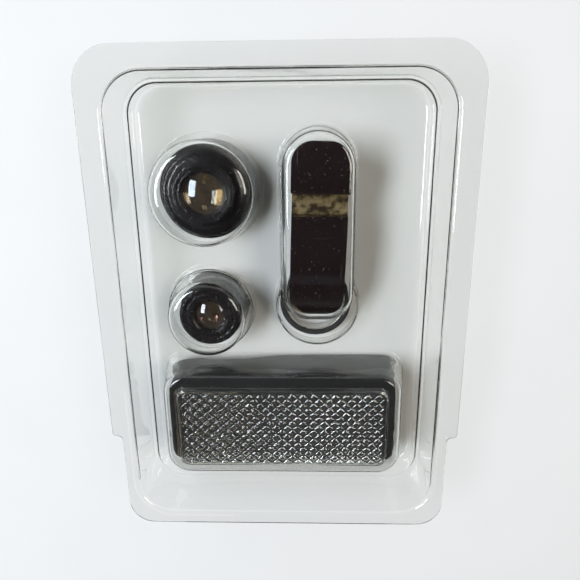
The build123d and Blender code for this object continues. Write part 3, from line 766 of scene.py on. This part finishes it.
def fisheye_barrel():
    _, r, low, high = axis_of("fisheye_barrel")
    thread_r, throat = 7.6, 5.7
    stub = high - 1.8
    shoulder = [(r, low), (r, stub - 1.7), (r - 0.35, stub - 1.3), (r - 0.35, stub - 1.1),
                (r - 0.9, stub - 0.55), (r - 1.3, stub - 0.55), (r - 1.3, stub - 0.35), (r - 2.3, stub)]
    stub_side = stretch((thread_r, stub), (thread_r, high - 0.25), 30)
    inside = [(thread_r - 0.3, high), (6.2, high), (6.2, high - 1.35), (throat, high - 1.35), (throat, 9.0),
              (5.0, 9.0), (5.0, 7.2), (6.1, 7.2), (6.1, low + 1), (r - 1.4, low + 1), (r - 1.4, low)]
    turned_piece("fisheye_barrel_body", "fisheye_barrel", shoulder + stub_side + inside, "fisheye_lens",
                 LENS_BLACK, relief=thread(thread_r, stub + 0.1, high - 0.2), steps=160)


def fisheye_rim():
    _, r, low, high = axis_of("fisheye_front_ring")
    bore, lip = 11.05, 10.2
    outside = [(lip, low), (r - 0.6, low), (r, low + 0.6)]
    outside += grooves(r, np.arange(low + 1.2, high - 1.0, 0.55))
    inside = [(r, high - 0.6), (r - 0.55, high), (bore, high), (bore, low + 1), (lip, low + 1)]
    turned_piece("fisheye_rim", "fisheye_front_ring", outside + inside, "fisheye_lens",
                 LENS_BLACK, soft=0.1)


def fisheye_rear_ring():
    _, r, low, high = axis_of("fisheye_rear_retainer")
    inner = 5.1
    profile = [(inner, low), (r, low), (r, high), (inner + 0.5, high), (inner + 0.5, high - 0.35),
               (inner + 0.25, high - 0.35), (inner + 0.25, high - 0.5), (inner, high - 0.5)]
    turned_piece("fisheye_rear_ring", "fisheye_rear_retainer", profile, "fisheye_lens",
                 LENS_BLACK, soft=0.05)


def fisheye_pieces():
    fisheye_barrel()
    fisheye_rim()
    fisheye_rear_ring()
    body = "fisheye_lens"
    lens_glass("fisheye_rear_glass", "fisheye_rear_element", 0.75, (-0.5, 0.9), body, REAR_GLASS)
    lens_glass("fisheye_middle_glass", "fisheye_middle_element", 1.2, (0.35, -0.45), body, MIDDLE_GLASS)
    lens_glass("fisheye_front_glass", "fisheye_front_element", 0.8, (-1.4, -1.9), body, FRONT_GLASS)


def macro_barrel():
    _, r, low, high = axis_of("macro_barrel")
    joint, grip_top = 7.4, 9.7
    grip = stretch((r, joint), (r, grip_top), 12)
    stub_r = 7.8
    stub = stretch((stub_r, grip_top + 0.25), (stub_r, high - 0.5), 24)
    face = [(stub_r - 0.55, high), (6.4, high), (6.3, high - 0.18), (6.0, high - 0.18), (5.9, high - 0.02)]
    inside = [(4.5, high - 0.1), (3.9, high - 0.5), (3.9, 11.0), (4.33, 11.0), (4.33, low)]
    profile = [(6.6, low), (6.6, joint)] + grip + stub + face + inside
    ribs = knurl(r, joint + 0.2, grip_top - 0.2)
    turns = thread(stub_r, grip_top + 0.4, high - 0.6)

    def relief(radius, height, angle):
        return ribs(radius, height, angle) + turns(radius, height, angle) * (radius < r - 0.2)

    turned_piece("macro_barrel_body", "macro_barrel", profile, "macro_lens", LENS_BLACK,
                 relief=relief, steps=432, soft=0.06)


def wide_barrel():
    _, r, low, high = axis_of("wide_barrel")
    outside = [(r - 0.4, low), (r, low + 0.4)] + grooves(r, np.arange(low + 0.8, low + 2.0, 0.5))
    outside += [(r, low + 2.5), (r - 0.5, low + 3.2), (r - 0.5, high)]
    inside = [(6.65, high), (6.65, 5.2), (5.6, 5.2), (5.6, 4.6), (7.53, 4.6), (7.53, low)]
    turned_piece("wide_barrel_body", "wide_barrel", outside + inside, "wide_lens", LENS_BLACK,
                 soft=0.08)


def small_lens_pieces():
    macro_barrel()
    lens_glass("macro_glass_element", "macro_element", 0.6, (-0.6, 0.9), "macro_lens", MACRO_GLASS)
    wide_barrel()
    lens_glass("wide_front_glass", "wide_front_element", 0.9, (-0.6, -1.5), "wide_lens", FRONT_GLASS)


# ---------------------------------------------------------------- CAD nodes that stay
def polish(node, finish, bevel=0.2):
    """Gives a CAD node that stays its finish and softly rounded edges."""
    piece = frame["nodes"][node]
    piece.data.materials.clear()
    piece.data.materials.append(finish)
    piece.data.shade_smooth()
    piece.modifiers.new("joined", "WELD").merge_threshold = 1e-6
    if bevel:
        add_bevel(piece, bevel, segments=3)
    add_weighted_normals(piece)


def polished_nodes():
    polish("clip_upper_jaw", CLIP_PLASTIC, 0.45)
    polish("clip_lower_jaw", CLIP_PLASTIC, 0.3)
    polish("clip_jaw_pad", RUBBER, 0.25)
    polish("clip_ring_pad", RUBBER, 0.2)
    polish("clip_lens_ring", RING_METAL, 0.15)
    polish("clip_pivot_pin", STEEL, 0)
    polish("clip_torsion_spring", STEEL, 0)
    polish("fisheye_spacer", BAFFLE, 0.06)
    polish("wide_retainer", LENS_BLACK, 0.06)
    polish("macro_retainer", LENS_BLACK, 0.06)


# ---------------------------------------------------------------- pouch
CORD_R = 0.7
CORD_KNOT_R = 1.15
CORD_CLEARANCE = 1.1
POUCH_GAP = 0.45
POUCH_LAYERS = 4
POUCH_SECTIONS = 56
LAYER_POINTS = 14
# A fold's set-back from the pocket's wall, as a share of a layer's thickness, and how unevenly folds lie
FOLD_INSET = 0.35
FOOT_WOBBLE = 0.7
END_WOBBLE = 0.3
# The most that the simulation may move a point, and how far the crumpling moves it
MOST_SWELL = 1.5
CRUMPLE = 0.45
CRUMPLE_SIZE = 5.0
SIMULATION_SCALE = 20.0
SIMULATION_FRAMES = 14
# The pocket's sides lean in faster above this height, towards its shoulders
SHOULDER_FROM_Z = 11.0


def pocket_room(z):
    """The pouch pocket's space at each height z, a little clear of the sheet: x0, x1, foot y and end y."""
    gap = SHEET + POUCH_GAP
    rise = (z - SHEET) / (POUCH_SHOULDER_Z - SHEET)
    width, end, foot = [low + (high - low) * rise for low, high in zip(POUCH_BASE, POUCH_SHOULDER)]
    shoulder = 0.1 * np.maximum(z - SHOULDER_FROM_Z, 0)**2
    half = width / 2 - gap - shoulder
    return POUCH_X - half, POUCH_X + half, foot + gap + shoulder, end - gap - shoulder


def cord_arch(shares, inset):
    """Points (x, z) on the CAD cord's arch, at shares from -1 at one end to 1 at the other."""
    low, high = extent("pouch_drawcord")
    crown, foot = high[2] - CORD_KNOT_R, low[2] + inset
    reach = (high[0] - low[0]) / 2 - inset
    return np.column_stack([(low[0] + high[0]) / 2 + reach * shares, crown - (crown - foot) * shares**2])


def clear_of_cord(x, z):
    """1 where the pouch may bulge towards the foot, falling smoothly to 0 where the cord is in the way."""
    arch = cord_arch(np.linspace(-1, 1, 60), CORD_R)
    away = np.hypot(x[:, None] - arch[:, 0], z[:, None] - arch[:, 1]).min(axis=1)
    knot = np.hypot(x - arch[:, 0].mean(), z - arch[:, 1].max()) - (CORD_KNOT_R - CORD_R)
    share = np.clip((np.minimum(away, knot) - CORD_CLEARANCE) / 1.2, 0, 1)
    return share * share * (3 - 2 * share)


def wobble(x, seed, wavelength=14.0):
    """Smooth irregular offset between about -1 and 1."""
    return noise.noise(Vector((x / wavelength, 7.3 * seed, 0.4)))


def folded_path(x, low, high):
    """Centre line of the fabric stack at one section, as (y, z, normal y, normal z) rows."""
    thick = (high[2] - low[2]) / POUCH_LAYERS
    rows = []
    for layer in range(POUCH_LAYERS):
        z = low[2] + (layer + 0.5) * thick
        _, _, foot, far = pocket_room(z)
        start = foot + thick * FOLD_INSET + 0.3 + FOOT_WOBBLE * wobble(x, 10 + layer)
        end = far - thick * FOLD_INSET + END_WOBBLE * wobble(x, 20 + layer)
        ys = np.linspace(start, end, LAYER_POINTS)
        forward = layer % 2 == 0
        for y in ys if forward else ys[::-1]:
            rows.append((y, z, 0.0, 1.0 if forward else -1.0))
        if layer == POUCH_LAYERS - 1:
            break
        bend_y = end if forward else start
        side = 1 if forward else -1
        for angle in np.radians(np.linspace(-60, 60, 5)):
            out = side * thick / 2 * math.cos(angle)
            up = thick / 2 * math.sin(angle)
            rows.append((bend_y + out, z + thick / 2 + up, -side * math.cos(angle), -math.sin(angle)))
    return np.array(rows)


def folded_pouch(low, high):
    """Points and faces of the folded pouch before it is softened: a padded band, folded to and fro."""
    half_thick = (high[2] - low[2]) / POUCH_LAYERS * 0.45
    left, right = pocket_room((low[2] + high[2]) / 2)[:2]
    sections = []
    for share in np.linspace(-1, 1, POUCH_SECTIONS):
        x = (left + right) / 2 + share * ((right - left) / 2 - 0.3)
        rows = folded_path(x, low, high)
        pinch = half_thick * math.sqrt(max(1 - abs(share)**7, 0.0)) + 0.02
        one_side = rows[:, :2] + rows[:, 2:] * pinch
        other_side = rows[:, :2] - rows[:, 2:] * pinch
        loop = np.vstack([one_side, other_side[::-1]])
        sections.append(np.column_stack([np.full(len(loop), x), loop]))
    count = len(sections[0])
    faces = grid_faces(POUCH_SECTIONS, count)
    for start in (0, (POUCH_SECTIONS - 1) * count):
        last = start + count - 1
        for index in range(count // 2 - 1):
            faces.append([start + index, start + index + 1, last - index - 1, last - index])
    return np.vstack(sections), faces


def simulate(piece):
    """Lets the folded fabric swell and crumple, and returns where its points end up."""
    piece.scale = (SIMULATION_SCALE,) * 3
    bpy.context.view_layer.update()
    cloth = piece.modifiers.new("cloth", "CLOTH")
    cloth.settings.quality = 5
    cloth.settings.mass = 0.2
    cloth.settings.tension_stiffness = 12
    cloth.settings.compression_stiffness = 12
    cloth.settings.bending_stiffness = 0.4
    cloth.settings.use_pressure = True
    cloth.settings.uniform_pressure_force = 4.0
    cloth.settings.shrink_min = -0.06
    cloth.settings.effector_weights.gravity = 0
    cloth.collision_settings.use_collision = False
    cloth.collision_settings.use_self_collision = True
    cloth.collision_settings.self_distance_min = 0.004
    for number in range(1, SIMULATION_FRAMES + 1):
        bpy.context.scene.frame_set(number)
    evaluated = piece.evaluated_get(bpy.context.evaluated_depsgraph_get())
    points = np.array([vertex.co for vertex in evaluated.data.vertices]) / MM
    piece.modifiers.remove(cloth)
    piece.scale = (1, 1, 1)
    bpy.context.scene.frame_set(1)
    return points


def held_between(values, low, high, soft=1.0):
    """Values held between two limits, flattening softly within soft of them."""
    below = np.maximum(low + soft - values, 0)
    above = np.maximum(values - high + soft, 0)
    return values + below - soft * np.tanh(below / soft) - above + soft * np.tanh(above / soft)


def kept_from_corners(x, y, room, radius):
    """Points of a rectangular room, x0, x1, y0 and y1, moved inwards as if its corners were rounded."""
    x0, x1, y0, y1 = room
    near_x = np.clip(x, x0 + radius, x1 - radius)
    near_y = np.clip(y, y0 + radius, y1 - radius)
    away = np.maximum(np.hypot(x - near_x, y - near_y), 1e-9)
    share = np.minimum(radius / away, 1)
    return near_x + (x - near_x) * share, near_y + (y - near_y) * share


def pressed_into_pocket(points, low, high):
    """Points held inside the pouch's pocket and clear of its cord."""
    z = held_between(points[:, 2], low[2], high[2])
    room = pocket_room(z)
    x0, x1, foot, far = room
    x = held_between(points[:, 0], x0, x1)
    foot = low[1] + (foot - low[1]) * clear_of_cord(x, z)
    y = held_between(points[:, 1], foot, far, 0.6)
    x, y = kept_from_corners(x, y, room, POUCH_CORNER)
    return np.column_stack([x, y, z])


def pouch_pieces():
    low, high = extent("pouch_body")
    points, faces = folded_pouch(low, high)
    pouch = new_piece("pouch_folded", points, faces, "pouch", POUCH_CLOTH, ("pouch_body",))
    resting = np.array([vertex.co for vertex in pouch.data.vertices]) / MM
    moved = simulate(pouch)
    resting = resting + np.clip(moved - resting, -MOST_SWELL, MOST_SWELL)
    rough = np.array([noise.noise_vector(Vector(point) / CRUMPLE_SIZE) for point in resting])
    settled = pressed_into_pocket(resting + CRUMPLE * rough, low, high)
    pouch.data.vertices.foreach_set("co", (settled * MM).astype(np.float32).ravel())
    pouch.data.update()
    smooth = pouch.modifiers.new("smooth", "SUBSURF")
    smooth.levels = smooth.render_levels = 1


CORD_STRANDS = 3
CORD_TURNS = 7
CORD_SECTIONS = 140
CORD_CORNERS = 8
CORD_INSET = 0.75
STRAND_R = 0.36
STRAND_ORBIT = 0.34
# How much wider the strands swing at the knot, and how short the knot is
KNOT_SWELL = 1.1
KNOT_SHARPNESS = 9


def strand_section(strand, share, y):
    """A ring of points around one strand's axis, at a share of the way along the cord's arch."""
    (x, z), before, after = cord_arch(share + np.array([0, -0.01, 0.01]), CORD_INSET)
    run = (after - before) / np.linalg.norm(after - before)
    side = np.array([0, 1, 0])
    up = np.cross((run[0], 0, run[1]), side)
    swell = 1 + KNOT_SWELL * math.exp(-(share * KNOT_SHARPNESS)**2)
    turn = (CORD_TURNS * math.pi * share + 2 * math.pi * strand / CORD_STRANDS) * swell
    axis = np.array([x, y, z]) + STRAND_ORBIT * swell * (math.cos(turn) * side + math.sin(turn) * up)
    angles = np.arange(CORD_CORNERS) * 2 * math.pi / CORD_CORNERS
    radius = STRAND_R * swell**0.4
    return [axis + radius * (math.cos(angle) * side + math.sin(angle) * up) for angle in angles]


def drawcord():
    """Three strands laid round each other along the CAD cord's arch, with a knot at the top."""
    low, high = extent("pouch_drawcord")
    points, faces = [], []
    for strand in range(CORD_STRANDS):
        start = len(points)
        for share in np.linspace(-1, 1, CORD_SECTIONS):
            points += strand_section(strand, share, (low[1] + high[1]) / 2)
        faces += grid_faces(CORD_SECTIONS, CORD_CORNERS, start=start)
        for end in (start, len(points) - CORD_CORNERS):
            faces.append(list(range(end, end + CORD_CORNERS)))
    new_piece("pouch_cord", points, faces, "pouch", CORD_CLOTH, ("pouch_drawcord",))


# ---------------------------------------------------------------- stage, light and camera
FLOOR_HALF = 3.0
FLOOR_GAP = 0.0001
ROOM_CENTRE = (0, 0, 0.01)
# How bright the room is at each height, from its horizon at 0 to overhead at 1
ROOM_BRIGHTNESS = ((0.0, 1.15), (0.3, 0.9), (0.5, 0.3), (0.75, 0.02))
CAMERA_PLACE = (0.006007, 0.04372, 0.14364)
CAMERA_TURN = (-0.297, 0.030, -0.002)


def pale_floor():
    s = Shader("stage_floor")
    base = s.mix_colours(s.noise(30, 3.0), rgb(0.80, 0.80, 0.80), rgb(0.84, 0.84, 0.84))
    return s.finish(s.surface("BsdfPrincipled", Base_Color=base, Roughness=0.7))


def probe(name, body, place):
    """An empty that rides on a body, so that the floor knows how low the body reaches."""
    empty = bpy.data.objects.new(name, None)
    bpy.context.scene.collection.objects.link(empty)
    empty.location = place
    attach(empty, body)
    return empty


def stage_floor():
    """A wide pale plane that a driver keeps just under the lowest body, whatever the pose."""
    data = bpy.data.meshes.new("stage_floor")
    corners = [(FLOOR_HALF * x, FLOOR_HALF * y, 0) for x, y in ((-1, -1), (1, -1), (1, 1), (-1, 1))]
    data.from_pydata(corners, [], [(0, 1, 2, 3)])
    data.materials.append(pale_floor())
    floor = bpy.data.objects.new("stage_floor", data)
    bpy.context.scene.collection.objects.link(floor)
    driver = floor.driver_add("location", 2).driver
    driver.type = "MIN"
    for body, nodes in frame["record"]["behaviour"]["bodies"].items():
        boxes = [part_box(node) for node in nodes]
        low = Vector(map(min, zip(*[box[0] for box in boxes])))
        high = Vector(map(max, zip(*[box[1] for box in boxes])))
        for end, y in (("foot", low.y), ("head", high.y)):
            variable = driver.variables.new()
            variable.type = "TRANSFORMS"
            target = variable.targets[0]
            place = ((low.x + high.x) / 2, y, low.z - FLOOR_GAP)
            target.id = probe(f"probe_{body}_{end}", body, place)
            target.transform_type = "LOC_Z"
            target.transform_space = "WORLD_SPACE"


def area_light(name, place, aim, size, radiance, colour):
    """A soft box; radiance is its brightness, whatever its size."""
    data = bpy.data.lights.new(name, "AREA")
    data.shape = "RECTANGLE"
    data.size, data.size_y = size
    data.energy = math.pi * radiance * size[0] * size[1]
    data.color = colour
    light = bpy.data.objects.new(name, data)
    light.location = place
    light.rotation_euler = (Vector(aim) - Vector(place)).to_track_quat("-Z", "Y").to_euler()
    light.visible_camera = False
    bpy.context.scene.collection.objects.link(light)


def lights():
    """Two windows, and two small lamps that only show as reflections in the pouch pocket's face."""
    area_light("window", (-0.57, 0.10, 0.80), ROOM_CENTRE, (0.54, 0.24), 22.0, (0.88, 0.94, 1.0))
    area_light("side_window", (0.56, 0.14, 0.75), ROOM_CENTRE, (0.42, 0.28), 9.0, (1.0, 0.95, 0.88))
    area_light("gold", (-0.125, -0.33, 0.50), (-0.125, -0.33, 0), (0.10, 0.13), 1.5, (1.0, 0.80, 0.45))
    area_light("haze", (0.01, -0.33, 0.50), (0.01, -0.33, 0), (0.10, 0.08), 0.22, (0.78, 0.85, 1.0))


def room():
    """The room around the set: bright towards its horizon, dark overhead and on the viewer's side."""
    world = bpy.data.worlds.new("room")
    world.use_nodes = True
    bpy.context.scene.world = world
    w = Nodes(world.node_tree)
    split = w.add("SeparateXYZ", {0: w.add("TexCoord").outputs["Generated"]}).outputs
    ramp = w.add("ValToRGB", {0: split["Z"]})
    stops = ramp.color_ramp.elements
    stops.remove(stops[-1])
    for height, brightness in ROOM_BRIGHTNESS:
        stop = stops.new(height) if height else stops[0]
        stop.color = rgb(brightness, brightness, brightness)
    cool_to_warm = w.remap(split["X"], (-0.8, 0.8), (0.0, 1.0))
    tint = w.mix_colours(cool_to_warm, rgb(0.95, 1.02, 1.08), rgb(0.92, 0.86, 0.76))
    tinted = w.add("VectorMath", {0: ramp.outputs[0], 1: tint}, operation="MULTIPLY").outputs[0]
    facing = w.remap(split["Y"], (-0.55, 0.25), (0.22, 1.0))
    shaded = w.add("VectorMath", {0: tinted, "Scale": facing}, operation="SCALE").outputs[0]
    w.put(world.node_tree.nodes["Background"].inputs["Color"], shaded)


def camera():
    """Almost straight above, leaning a little from the wide end, as the set was seen."""
    data = bpy.data.cameras.new("camera")
    data.lens = 33.9
    data.sensor_width = 36.0
    data.clip_start = 0.005
    view = bpy.data.objects.new("camera", data)
    view.location = CAMERA_PLACE
    view.rotation_mode = "ZYX"
    view.rotation_euler = CAMERA_TURN
    bpy.context.scene.collection.objects.link(view)
    bpy.context.scene.camera = view


def build():
    blister_tray()
    fisheye_pieces()
    small_lens_pieces()
    polished_nodes()
    pouch_pieces()
    drawcord()
    stage_floor()
    lights()
    room()
    camera()
    scene = bpy.context.scene
    scene.view_settings.view_transform = "Standard"
    # Light reaches the floor under the tray through many faces of the sheet.
    scene.cycles.transparent_max_bounces = 40
    scene.cycles.transmission_bounces = 14
    scene.cycles.max_bounces = 14


build()
